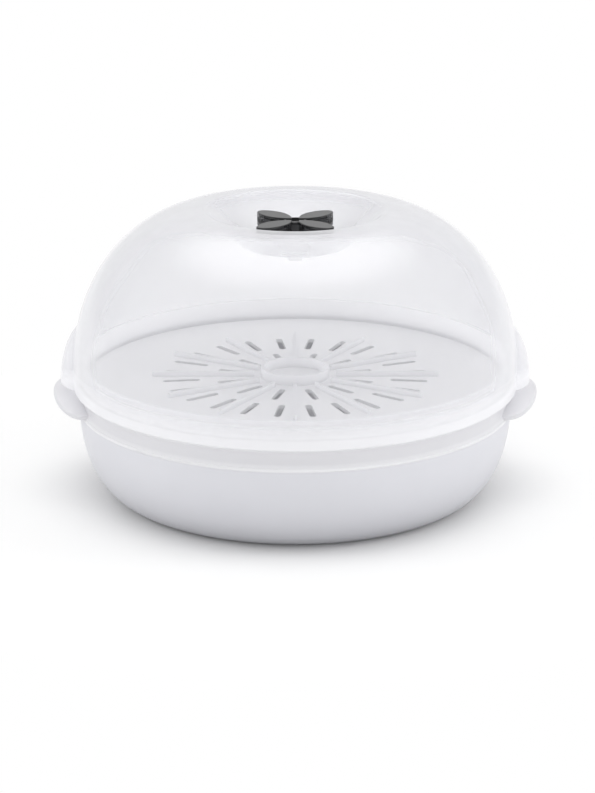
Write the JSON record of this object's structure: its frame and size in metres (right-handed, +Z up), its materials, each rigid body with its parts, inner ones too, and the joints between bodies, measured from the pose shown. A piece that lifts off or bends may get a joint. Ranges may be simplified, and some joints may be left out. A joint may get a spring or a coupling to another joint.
{
  "type": "microwave bottle sterilizer",
  "caption": "Round microwave steam sterilizer: white base bowl with side tabs, slotted rack with a collar, and a clear dome lid with a petal knob in its dished top",
  "frame": {"origin": "on the table, under the middle of the base bowl", "axes": "+Z up, +X towards the tab and ear on the viewer's right, -Y towards the viewer"},
  "size_m": [0.2836, 0.2596, 0.1677],
  "materials": {
    "base": "satin",
    "rack": "satin",
    "lid": "polished",
    "knob": "gloss",
    "clip": "satin"
  },
  "bodies": {
    "base": {"base_bowl": "base"},
    "rack": {"bottle_rack": "rack"},
    "lid": {"lid_dome": "lid", "lid_knob": "knob", "knob_clip": "clip"}
  },
  "joints": [
    {"name": "rack_lift", "type": "slide", "parent": "base", "child": "rack", "axis": [0, 0, 1], "range_m": [0, 0.08]},
    {"name": "lid_lift", "type": "slide", "parent": "rack", "child": "lid", "axis": [0, 0, 1], "range_m": [0, 0.12]}
  ]
}
